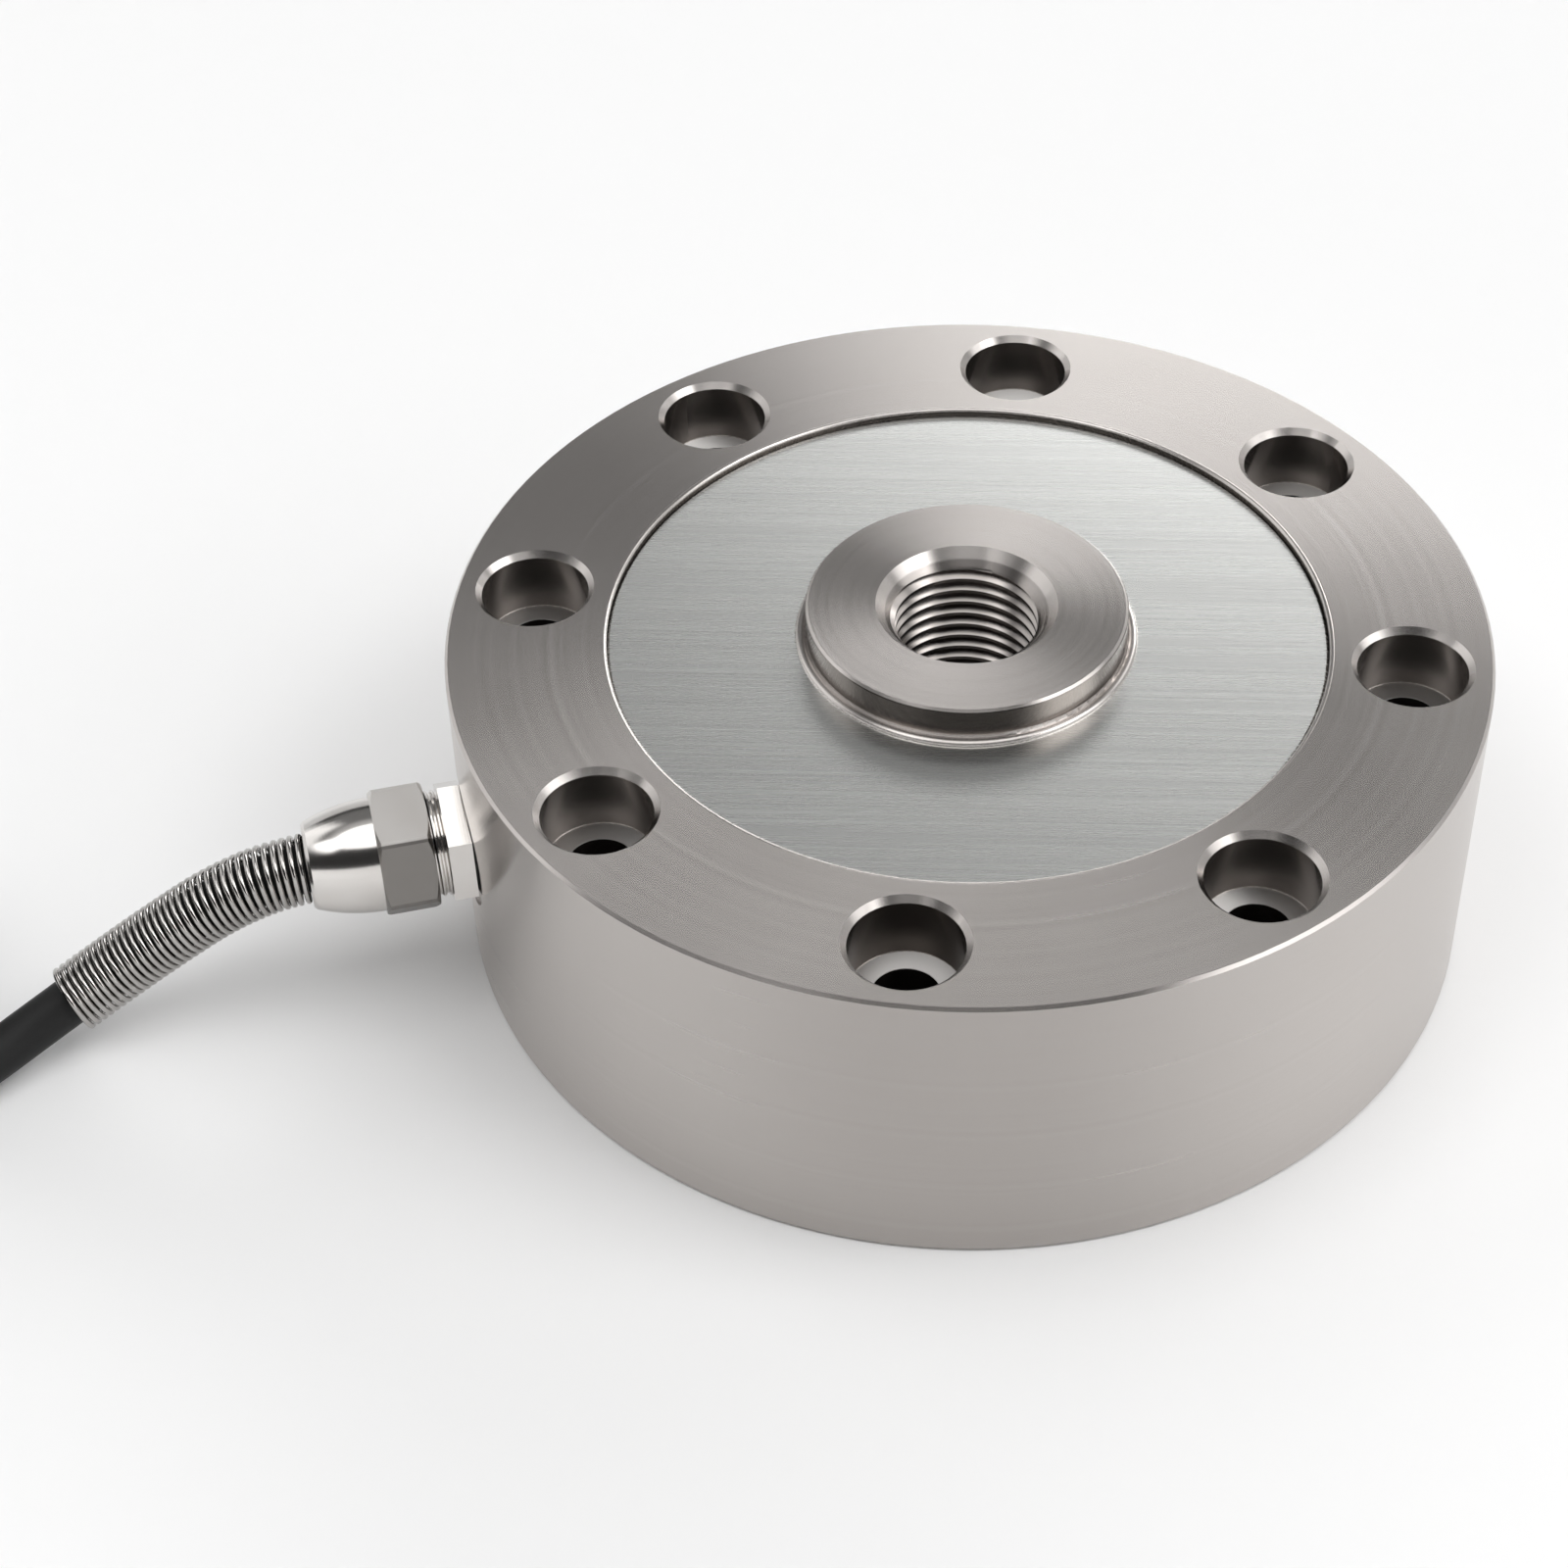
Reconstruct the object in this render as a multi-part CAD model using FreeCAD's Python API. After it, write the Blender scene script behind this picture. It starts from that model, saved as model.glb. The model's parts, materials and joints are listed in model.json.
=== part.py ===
import FreeCAD, Part
import math
import os
from FreeCAD import Placement, Rotation, Vector

# Low-profile spoke load cell. Millimetres, +Z up along the hub axis, origin at the centre of the ring's base.
# The cable gland points along -X, midway between two bolt holes.

# Ring
ring_diameter = 105.0
ring_height = 34.0
ring_edge_break = 0.3
ring_face = 16.2
bolt_inset = 8.0
bolt_count = 8
bolt_hole = 6.6
counterbore = 11.0
counterbore_depth = 7.0
counterbore_chamfer = 0.6

# Cover seats, alike on the top and the underside
recess_edge_break = 0.35
cover_set_down = 0.7
cover_thickness = 1.0
cover_rim_gap = 0.1
cover_hub_gap = 0.05
cover_edge_break = 0.2
seal_thickness = 0.2
rim_ledge = 2.3
hub_ledge = 1.5

# Hub, with a threaded hole drawn at its nominal diameter
hub_rise = 3.0
hub_edge_break = 0.3
hub_foot_width = 0.8
hub_foot_land = 0.1
hub_ground_gap = 0.6
thread_diameter = 16.0
thread_chamfer = 1.15

# Spokes and the space around them
spoke_count = 4
spoke_length = 14.0
spoke_width = 9.0
spoke_height = 20.0
pocket_fillet = 2.5

# Ring-shaped wiring board on a ledge above the spokes, with its resistors
board_ledge = 1.5
board_lift = 1.0
board_thickness = 1.2
board_hub_gap = 3.4
board_gap = 0.1
resistor_count = 4
resistor_length = 3.2
resistor_width = 1.6
resistor_height = 0.55

# Shear gauges on the spokes' flanks, and their leads
gauge_end_gap = 1.0
gauge_height = 7.0
gauge_film = 0.1
grid_margin = 0.2
gauge_foil = 0.05
solder_tab_length = 1.4
solder_tab_height = 1.2
solder_tab_rise = 2.6
gauge_lead = 0.5

# Cable gland: distances along its axis
spotface = 14.0
gland_thread = 8.0
gland_thread_length = 8.0
gland_hex = 11.5
gland_hex_length = 2.4
gland_hex_turn = 8.4
gland_neck = 1.4
gland_screw = 10.4
gland_screw_gap = 0.3
gland_spigot = 9.0
o_ring_outside = 10.6
o_ring_thickness = 0.3
nut_hex = 12.3
nut_corner_cut = 0.18
nut_edge_break = 0.4
nut_back_chamfer = 0.45
nut_length = 5.5
nut_screw_stop = 0.8
nut_turn = 18.8
nut_web = 1.2
nose_base = 11.7
nose_lip = 0.5
nose_swell = 0.35
nose_length = 7.1
nose_edge_break = 0.3
washer_thickness = 0.6
grommet_wall = 1.2
grommet_length = 4.4
grommet_proud = 0.4
thread_clearance = 0.05
cable_clearance = 0.2

# Spring around the cable where it leaves the gland
spring_wire_diameter = 0.79
spring_turns = 41
spring_cable_gap = 0.4
spring_pocket = 3.8
spring_pocket_gap = 0.05
spring_pocket_flare = 0.3
spring_bore_sections = 10

# Cable: four cores and a shield in a round jacket
cable_diameter = 5.0
cable_length = 3000.0
jacket_reach_in = 1.0
core_diameter = 1.2
core_spacing = 1.05
shield_diameter = 0.8
core_rise_step = 2.0
core_first_rise = 2.9
tip_diameter = 0.8
tip_length = 5.0
core_inset = 0.5

# Put-away coil of the cable and its tie
coil_centre_out = 80.4
coil_centre_side = 7.6
coil_turns_wide = 4
coil_turns_high = 4
coil_corner = 1.5
tail_start = 78.0
tail_sweep = 105.0
tie_bearing = 210.0
tie_width = 3.6
tie_thickness = 1.0
tie_corner = 2.6
tie_head_length = 5.0
tie_head_width = 5.6
tie_head_depth = 3.6

# Working values
arc_fraction = 0.45
cut_margin = 1.0
tolerance = 0.001
up = Vector(0, 0, 1)
base = Vector(0, 0, 0)

# Levels and radii that several pieces share
mid_height = ring_height / 2
seat_depth = cover_set_down + cover_thickness + seal_thickness
top_seat = ring_height - seat_depth
rim_radius = ring_diameter / 2
recess_radius = rim_radius - ring_face
cavity_radius = recess_radius - rim_ledge
pocket_radius = cavity_radius - board_ledge
hub_radius = pocket_radius - spoke_length
foot_radius = hub_radius - hub_ledge
boss_radius = foot_radius - hub_foot_width
hub_top = ring_height + hub_rise
spoke_bottom = mid_height - spoke_height / 2
spoke_top = mid_height + spoke_height / 2
board_seat = spoke_top + board_lift
board_outer = cavity_radius - board_gap
board_inner = hub_radius + board_hub_gap
board_top = board_seat + board_thickness
flank_offset = spoke_width / 2 + pocket_fillet
flank_inner = math.sqrt((hub_radius + pocket_fillet) ** 2 - flank_offset ** 2)
flank_outer = math.sqrt((pocket_radius - pocket_fillet) ** 2 - flank_offset ** 2)
gauge_radius = (flank_inner + flank_outer) / 2
gauge_length = flank_outer - flank_inner - 2 * gauge_end_gap
grid_diagonal = (gauge_length - 3 * grid_margin) / 2
grid_spread = (grid_diagonal + grid_margin) / 2

# Stations along the gland's axis, measured from the hub's axis
rim_seat = math.sqrt(rim_radius ** 2 - (spotface / 2) ** 2)
hex_start = rim_seat + o_ring_thickness
hex_end = hex_start + gland_hex_length
nut_start = hex_end + gland_neck
nut_end = nut_start + nut_length
screw_end = nut_end - nut_screw_stop
nose_end = nut_end + nose_length
spring_seat = nose_end - spring_pocket
shoulder = spring_seat - nut_web
washer_start = shoulder - washer_thickness
grommet_start = washer_start - grommet_length
spigot_end = washer_start - grommet_proud
jacket_end = pocket_radius - jacket_reach_in
lead_start = (grommet_start + spigot_end) / 2

cable_radius = cable_diameter / 2
cable_way = cable_radius + cable_clearance
spring_inside = cable_radius + spring_cable_gap
spring_outside = spring_inside + spring_wire_diameter
coil_centre = Vector(-nose_end - coil_centre_out, coil_centre_side, 0)
coil_top = coil_turns_high * cable_diameter

# Cable route: distance out from the nose, distance sideways, height
lead_route = [
    (lead_start - nose_end, 0.0, mid_height),
    (1.1, 0.0, mid_height),
    (8.4, 0.0, 15.05),
    (15.3, 0.0, 11.0),
    (22.2, -0.5, 7.0),
    (28.8, -2.4, 4.3),
    (35.0, -5.4, 2.8),
    (41.9, -9.5, cable_radius),
    (51.3, -15.3, cable_radius),
    (61.5, -21.8, cable_radius),
]

# Stripped far end: steps along the coil from the jacket's end, and at each step how far a core stands
# outside the middle of the turns and how high its underside is above them
fan_steps = (-core_inset, 6.0, 14.0, 24.0, 34.0)
core_fans = {
    "core_red": ((0.9, 1.7, 3.5, 5.1, 5.7), (2.8, 2.3, 0.8, 0.0, 0.0)),
    "core_green": ((0.9, 1.3, 2.1, 2.7, 2.9), (1.0, 0.4, 0.0, 0.0, 0.0)),
    "core_white": ((-0.9, -1.3, -2.1, -2.7, -2.9), (1.0, 0.4, 0.0, 0.0, 0.0)),
    "core_black": ((-0.9, -1.7, -3.5, -4.9, -5.5), (2.8, 2.3, 0.8, 0.0, 0.0)),
}
shield_fan = ((0.0, 0.0, -0.1, 0.1, -0.2), (2.1, 1.5, 0.5, 0.0, 0.0))

nodes = {}


# Shared forms
def turned(outline):
    """Solid of revolution about Z from a closed outline of (radius, height) points."""
    points = [Vector(radius, 0, height) for radius, height in outline]
    return Part.Face(Part.makePolygon(points + points[:1])).revolve(base, up, 360)


def washer(inner, outer, low, high):
    return turned([(inner, low), (outer, low), (outer, high), (inner, high)])


def block(centre, size):
    corner = centre - size / 2
    return Part.makeBox(size.x, size.y, size.z, corner)


def hexagon(across_flats, low, high, turn):
    radius = across_flats / math.sqrt(3)
    angles = [math.radians(turn + 60 * step) for step in range(7)]
    corners = [Vector(radius * math.cos(a), radius * math.sin(a), low) for a in angles]
    return Part.Face(Part.makePolygon(corners)).extrude(up * (high - low))


def spun(shape, bearing):
    copy = shape.copy()
    copy.rotate(base, up, bearing)
    return copy


def on_gland_axis(shape):
    """Turn a piece drawn along +Z so that it lies along the gland's axis, out through the rim."""
    copy = shape.copy()
    copy.Placement = Placement(up * mid_height, Rotation(Vector(0, 1, 0), -90))
    return copy


def midway(step, count):
    """Bearing of one of a count of places round the hub, with the gland midway between two of them."""
    return (step + 0.5) * 360 / count


def edges_along(shape, axis):
    straight = [edge for edge in shape.Edges if isinstance(edge.Curve, Part.Line)]
    return [edge for edge in straight if edge.Curve.Direction.cross(axis).Length < tolerance]


def circles_at(shape, radius, height):
    circles = [edge for edge in shape.Edges if isinstance(edge.Curve, Part.Circle)]
    level = [edge for edge in circles if abs(edge.Curve.Center.z - height) < tolerance]
    return [edge for edge in level if abs(edge.Curve.Radius - radius) < tolerance]


def rounded_path(points):
    """Straight runs joined by tangent arcs, each as large as its two runs allow."""
    corners = [Vector(*point) for point in points]
    start = corners[0]
    edges = []
    for before, corner, after in zip(corners, corners[1:], corners[2:]):
        back = before - corner
        ahead = after - corner
        half_turn = (math.pi - back.getAngle(ahead)) / 2
        setback = arc_fraction * min(back.Length, ahead.Length)
        radius = setback / math.tan(half_turn)
        back.normalize()
        ahead.normalize()
        inward = (back + ahead).normalize()
        arc_start = corner + back * setback
        arc_end = corner + ahead * setback
        arc_middle = corner + inward * (radius / math.cos(half_turn) - radius)
        edges.append(Part.LineSegment(start, arc_start).toShape())
        edges.append(Part.Arc(arc_start, arc_middle, arc_end).toShape())
        start = arc_end
    edges.append(Part.LineSegment(start, corners[-1]).toShape())
    return Part.Wire(edges)


def tube(path, diameter):
    first = path.Edges[0]
    start = first.valueAt(first.FirstParameter)
    direction = first.tangentAt(first.FirstParameter)
    section = Part.Wire(Part.makeCircle(diameter / 2, start, direction))
    return path.makePipeShell([section], True, False)


def circle_along(path, distance, radius):
    """Circle of a radius, square to the path at a distance from the path's start."""
    for edge in path.Edges:
        if distance <= edge.Length:
            break
        distance -= edge.Length
    parameter = edge.getParameterByLength(min(distance, edge.Length))
    direction = edge.tangentAt(parameter)
    side = direction.cross(up).normalize()
    turn = Rotation(side, direction.cross(side), direction, "ZXY")
    circle = Part.makeCircle(radius)
    circle.Placement = Placement(edge.valueAt(parameter), turn)
    return Part.Wire(circle)


# The coil takes up what the lead and the tail leave of the cable's length
lead_path = rounded_path([(-nose_end - out, side, height) for out, side, height in lead_route])
coil_turns = coil_turns_wide * coil_turns_high
coil_length = cable_length - (lead_start - jacket_end) - lead_path.Length
coil_mean = coil_length / (2 * math.pi * coil_turns + math.radians(tail_sweep))
coil_inner = coil_mean - coil_turns_wide * cable_radius
coil_outer = coil_mean + coil_turns_wide * cable_radius


# Spring element: ring, spokes and hub in one piece
def element_blank():
    edge = recess_radius + recess_edge_break
    bore = thread_diameter / 2
    mouth = bore + thread_chamfer
    cover_face = ring_height - cover_set_down
    blank = turned([
        (bore, hub_ground_gap + thread_chamfer),
        (mouth, hub_ground_gap),
        (foot_radius - hub_edge_break, hub_ground_gap),
        (foot_radius, hub_ground_gap + hub_edge_break),
        (foot_radius, seat_depth),
        (hub_radius, seat_depth),
        (hub_radius, spoke_bottom),
        (pocket_radius, spoke_bottom),
        (pocket_radius, seat_depth),
        (recess_radius, seat_depth),
        (recess_radius, recess_edge_break),
        (edge, 0),
        (rim_radius - ring_edge_break, 0),
        (rim_radius, ring_edge_break),
        (rim_radius, ring_height - ring_edge_break),
        (rim_radius - ring_edge_break, ring_height),
        (edge, ring_height),
        (recess_radius, ring_height - recess_edge_break),
        (recess_radius, top_seat),
        (cavity_radius, top_seat),
        (cavity_radius, board_seat),
        (pocket_radius, board_seat),
        (pocket_radius, spoke_top),
        (hub_radius, spoke_top),
        (hub_radius, top_seat),
        (foot_radius, top_seat),
        (foot_radius, cover_face),
        (boss_radius, cover_face),
        (boss_radius, hub_top - hub_edge_break),
        (boss_radius - hub_edge_break, hub_top),
        (mouth, hub_top),
        (bore, hub_top - thread_chamfer),
    ])
    foot_corner = circles_at(blank, boss_radius, cover_face)
    return blank.makeFillet(hub_foot_width - hub_foot_land, foot_corner)


def pockets():
    """The spaces between the spokes, with rounded corners."""
    space = washer(hub_radius, pocket_radius, spoke_bottom, spoke_top)
    for step in range(spoke_count):
        reach = Vector(2 * pocket_radius, spoke_width, 2 * spoke_height)
        spoke = block(Vector(pocket_radius, 0, mid_height), reach)
        space = space.cut(spun(spoke, midway(step, spoke_count)))
    return [pocket.makeFillet(pocket_fillet, edges_along(pocket, up)) for pocket in space.Solids]


def bolt_hole_cutter():
    narrow = bolt_hole / 2
    wide = counterbore / 2
    mouth = wide + counterbore_chamfer
    floor = ring_height - counterbore_depth
    cutter = turned([
        (0, -cut_margin),
        (narrow, -cut_margin),
        (narrow, floor),
        (wide, floor),
        (wide, ring_height - counterbore_chamfer),
        (mouth, ring_height),
        (mouth, ring_height + cut_margin),
        (0, ring_height + cut_margin),
    ])
    cutter.translate(Vector(rim_radius - bolt_inset, 0, 0))
    return cutter


def gland_port_cutter():
    thread = gland_thread / 2
    hole_end = rim_seat - gland_thread_length
    outside = rim_radius + cut_margin
    return on_gland_axis(turned([
        (0, pocket_radius - cut_margin),
        (cable_way, pocket_radius - cut_margin),
        (cable_way, hole_end),
        (thread, hole_end),
        (thread, rim_seat),
        (spotface / 2, rim_seat),
        (spotface / 2, outside),
        (0, outside),
    ]))


def spring_element():
    holes = [spun(bolt_hole_cutter(), midway(step, bolt_count)) for step in range(bolt_count)]
    return element_blank().cut(pockets() + holes + [gland_port_cutter()])


# Covers and the sealing beads under their edges
def cover():
    """Cover drawn with its inner face at zero and its outer face up."""
    inner = foot_radius + cover_hub_gap
    outer = recess_radius - cover_rim_gap
    shoulder_height = cover_thickness - cover_edge_break
    return turned([
        (inner, 0),
        (outer, 0),
        (outer, shoulder_height),
        (outer - cover_edge_break, cover_thickness),
        (inner + cover_edge_break, cover_thickness),
        (inner, shoulder_height),
    ])


def on_top(shape):
    copy = shape.copy()
    copy.translate(up * top_seat)
    return copy


def on_underside(shape):
    copy = shape.copy()
    copy.rotate(base, Vector(1, 0, 0), 180)
    copy.translate(up * seat_depth)
    return copy


def covers_and_seals():
    plate = cover()
    plate.translate(up * seal_thickness)
    rim_seal = washer(cavity_radius, recess_radius - cover_rim_gap, 0, seal_thickness)
    hub_seal = washer(foot_radius + cover_hub_gap, hub_radius, 0, seal_thickness)
    for name, shape in (("cover", plate), ("rim_seal", rim_seal), ("hub_seal", hub_seal)):
        nodes["top_" + name] = on_top(shape)
        nodes["bottom_" + name] = on_underside(shape)


# Gauges, leads, board and resistors inside the sealed space
def gauge_and_leads(side):
    """A shear gauge with two grids at 45 degrees, and its lead pair, on one flank of a spoke along +X."""
    flank = side * spoke_width / 2
    film_y = flank + side * gauge_film / 2
    foil_y = flank + side * (gauge_film + gauge_foil / 2)
    lead_y = flank + side * (gauge_film + gauge_foil + gauge_lead / 2)
    tab_z = mid_height + solder_tab_rise
    lead_foot = tab_z - solder_tab_height / 2
    gauge = block(Vector(gauge_radius, film_y, mid_height), Vector(gauge_length, gauge_film, gauge_height))
    grid_side = grid_diagonal / math.sqrt(2)
    leads = []
    for way in (-1, 1):
        grid_x = gauge_radius + way * grid_spread
        grid_centre = Vector(grid_x, foil_y, mid_height)
        grid = block(grid_centre, Vector(grid_side, gauge_foil, grid_side))
        grid.rotate(grid_centre, Vector(0, 1, 0), 45)
        tab = block(Vector(grid_x, foil_y, tab_z), Vector(solder_tab_length, gauge_foil, solder_tab_height))
        gauge = gauge.fuse([grid, tab])
        foot = Vector(grid_x, lead_y, lead_foot)
        leads.append(Part.makeCylinder(gauge_lead / 2, board_seat - lead_foot, foot))
    return gauge.removeSplitter(), Part.makeCompound(leads)


def wiring():
    number = 0
    for step in range(spoke_count):
        for side in (-1, 1):
            number += 1
            gauge, leads = gauge_and_leads(side)
            nodes[f"strain_gauge_{number}"] = spun(gauge, midway(step, spoke_count))
            nodes[f"gauge_leads_{number}"] = spun(leads, midway(step, spoke_count))
    nodes["wiring_board"] = washer(board_inner, board_outer, board_seat, board_top)
    chip = block(
        Vector((board_inner + board_outer) / 2, 0, board_top + resistor_height / 2),
        Vector(resistor_width, resistor_length, resistor_height),
    )
    for step in range(resistor_count):
        nodes[f"trim_resistor_{step + 1}"] = spun(chip, step * 360 / resistor_count)


# Cable gland
def gland():
    grommet_outside = cable_radius + grommet_wall
    screw = gland_screw / 2
    spigot = gland_spigot / 2
    shank = washer(cable_way, gland_thread / 2, rim_seat - gland_thread_length, hex_start)
    head = hexagon(gland_hex, hex_start, hex_end, gland_hex_turn)
    neck = turned([
        (cable_way, hex_start),
        (screw, hex_start),
        (screw, screw_end - gland_screw_gap),
        (spigot, screw_end - gland_screw_gap),
        (spigot, spigot_end),
        (grommet_outside, spigot_end),
        (grommet_outside, grommet_start),
        (cable_way, grommet_start),
    ])
    bore = Part.makeCylinder(cable_way, hex_end - hex_start, Vector(0, 0, hex_start))
    body = head.cut(bore).fuse([shank, neck]).removeSplitter()
    nodes["gland_body"] = on_gland_axis(body)
    nodes["gland_o_ring"] = on_gland_axis(washer(gland_thread / 2, o_ring_outside / 2, rim_seat, hex_start))
    grommet = washer(cable_radius, grommet_outside, grommet_start, washer_start)
    nodes["gland_grommet"] = on_gland_axis(grommet)
    nodes["gland_washer"] = on_gland_axis(washer(cable_way, spigot, washer_start, shoulder))
    nodes["clamp_nut"] = on_gland_axis(clamp_nut())


def clamp_nut():
    """Hexagon with turned corners, a swelling nose and a stepped bore for screw, spigot, cable and spring."""
    corner = nut_hex / math.sqrt(3) - nut_corner_cut
    flat = nut_hex / 2
    screw = gland_screw / 2 + thread_clearance
    spigot = gland_spigot / 2 + thread_clearance
    spring_hole = spring_outside + spring_pocket_gap
    flare = spring_hole + spring_pocket_flare
    tip = flare + nose_lip
    barrel = turned([
        (0, nut_start),
        (flat, nut_start),
        (corner, nut_start + nut_back_chamfer),
        (corner, nut_end - nut_edge_break),
        (flat, nut_end),
        (0, nut_end),
    ])
    nose_root = Vector(nose_base / 2, 0, nut_end)
    nose_rim = Vector(tip, 0, nose_end - nose_edge_break)
    nose_middle = (nose_root + nose_rim) / 2 + Vector(nose_swell, 0, 0)
    nose_back = Part.makePolygon([
        nose_rim,
        Vector(tip - nose_edge_break, 0, nose_end),
        Vector(0, 0, nose_end),
        Vector(0, 0, nut_end - nut_edge_break),
        Vector(nose_base / 2, 0, nut_end - nut_edge_break),
        nose_root,
    ])
    nose_curve = Part.Arc(nose_root, nose_middle, nose_rim).toShape()
    nose = Part.Face(Part.Wire([nose_curve] + nose_back.Edges)).revolve(base, up, 360)
    bore = turned([
        (0, nut_start - cut_margin),
        (screw, nut_start - cut_margin),
        (screw, screw_end),
        (spigot, screw_end),
        (spigot, shoulder),
        (cable_way, shoulder),
        (cable_way, spring_seat),
        (spring_hole, spring_seat),
        (spring_hole, (spring_seat + nose_end) / 2),
        (flare, nose_end),
        (flare, nose_end + cut_margin),
        (0, nose_end + cut_margin),
    ])
    body = hexagon(nut_hex, nut_start, nut_end, nut_turn).common(barrel)
    return body.fuse(nose).cut(bore).removeSplitter()


# Cable inside the cell, and its cores up to the board
def inner_cable():
    stretch = Part.makeCylinder(cable_radius, lead_start - jacket_end, Vector(0, 0, jacket_end))
    nodes["cable_in_gland"] = on_gland_axis(stretch)
    corners = (("red", 1, 1), ("black", -1, 1), ("green", 1, -1), ("white", -1, -1))
    for colour, sideways, upward in corners:
        reach = core_first_rise + (1 - upward) / 2 * core_rise_step
        nodes[f"inner_core_{colour}"] = rising_core(
            sideways * core_spacing, upward * core_spacing, reach, core_diameter)
    nodes["inner_shield"] = rising_core(0, 0, core_first_rise + 2 * core_rise_step, shield_diameter)


def rising_core(sideways, upward, reach, diameter):
    start = (-jacket_end, sideways, mid_height + upward)
    turn = (-jacket_end + reach, sideways, mid_height + upward)
    end = (-jacket_end + reach, sideways, board_seat)
    return tube(rounded_path([start, turn, end]), diameter)


# Spring: close turns as ridges along the cable's path
def strain_relief_spring():
    start = spring_seat - lead_start
    root = spring_outside - spring_wire_diameter / 2
    length = spring_turns * spring_wire_diameter
    ridges = [
        circle_along(lead_path, start + half * spring_wire_diameter / 2, spring_outside if half % 2 else root)
        for half in range(2 * spring_turns + 1)
    ]
    bore = [
        circle_along(lead_path, start + section * length / spring_bore_sections, spring_inside)
        for section in range(spring_bore_sections + 1)
    ]
    return Part.makeLoft(ridges, True, True).cut(Part.makeLoft(bore, True, True))


# Cable outside the cell
def outer_cable():
    lead = tube(lead_path, cable_diameter)
    tie = coil_tie()
    coil = at_coil(coiled_turns().cut(tie))
    nodes["strain_relief_spring"] = strain_relief_spring()
    nodes["cable_lead"] = lead.cut(coil)
    nodes["cable_coil"] = coil
    nodes["coil_tie"] = at_coil(tie)
    nodes["cable_tail"] = at_coil(cable_tail())
    section = math.pi * cable_radius ** 2
    bends = [edge.Curve.Radius for edge in lead_path.Edges if isinstance(edge.Curve, Part.Circle)]
    print("lead bend radii", [round(bend, 1) for bend in bends])
    print("lead length", round(lead_path.Length, 2), "volume over section", round(lead.Volume / section, 2))
    print("coil diameter at the middle of its turns", round(2 * coil_mean, 2))


def at_coil(shape):
    copy = shape.copy()
    copy.translate(coil_centre)
    return copy


def coiled_turns():
    """Outer shape of the coil, with corners cut where its outermost turns are round."""
    return turned([
        (coil_inner + coil_corner, 0),
        (coil_outer - coil_corner, 0),
        (coil_outer, coil_corner),
        (coil_outer, coil_top - coil_corner),
        (coil_outer - coil_corner, coil_top),
        (coil_inner + coil_corner, coil_top),
        (coil_inner, coil_top - coil_corner),
        (coil_inner, coil_corner),
    ])


def coil_tie():
    """Band round the coil's section, level with the coil's base, with its lock on the outside."""
    width = coil_outer - coil_inner
    outside = block(
        Vector(coil_mean, 0, (coil_top + tie_thickness) / 2),
        Vector(width + 2 * tie_thickness, tie_width, coil_top + tie_thickness),
    )
    inside = block(
        Vector(coil_mean, 0, (coil_top + tie_thickness) / 2),
        Vector(width, tie_width + cut_margin, coil_top - tie_thickness),
    )
    head_centre = Vector(coil_outer + tie_thickness / 2 + tie_head_depth / 2, 0, coil_top / 2)
    head = block(head_centre, Vector(tie_head_depth, tie_head_width, tie_head_length))
    across = Vector(0, 1, 0)
    band = outside.makeFillet(tie_corner, edges_along(outside, across))
    opening = inside.makeFillet(tie_corner - tie_thickness, edges_along(inside, across))
    return spun(band.fuse(head).cut(opening).removeSplitter(), tie_bearing)


def cable_tail():
    """The last part-turn of the jacket, lying on top of the coil."""
    centre = Vector(coil_mean, 0, coil_top + cable_radius)
    disc = Part.Face(Part.Wire(Part.makeCircle(cable_radius, centre, Vector(0, 1, 0))))
    return spun(disc.revolve(base, -up, tail_sweep), tail_start)


def fan_points(fan, diameter):
    """Points of a core that leaves the jacket's end and comes to lie on the coil."""
    points = []
    for step, outward, height in zip(fan_steps, *fan):
        bearing = math.radians(tail_start - tail_sweep) - step / coil_mean
        radius = coil_mean + outward
        level = coil_top + height + diameter / 2
        points.append(coil_centre + Vector(radius * math.cos(bearing), radius * math.sin(bearing), level))
    return points


def fanned_core(points, diameter):
    return tube(rounded_path(points), diameter).cut(nodes["cable_tail"])


def far_end():
    tips = []
    for name, fan in core_fans.items():
        points = fan_points(fan, core_diameter)
        nodes[name] = fanned_core(points, core_diameter)
        tips.append(Part.makeCylinder(tip_diameter / 2, tip_length, points[-1], points[-1] - points[-2]))
    nodes["tinned_tips"] = Part.makeCompound(tips)
    nodes["shield_lead"] = fanned_core(fan_points(shield_fan, shield_diameter), shield_diameter)


nodes["spring_element"] = spring_element()
covers_and_seals()
wiring()
gland()
inner_cable()
outer_cable()
far_end()

os.makedirs("parts", exist_ok=True)
for name, shape in nodes.items():
    shape.exportStep(f"parts/{name}.step")
print(len(nodes), "nodes")
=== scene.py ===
import json
import math
import bmesh
import bpy
import numpy as np
from mathutils import Matrix, Vector


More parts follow.
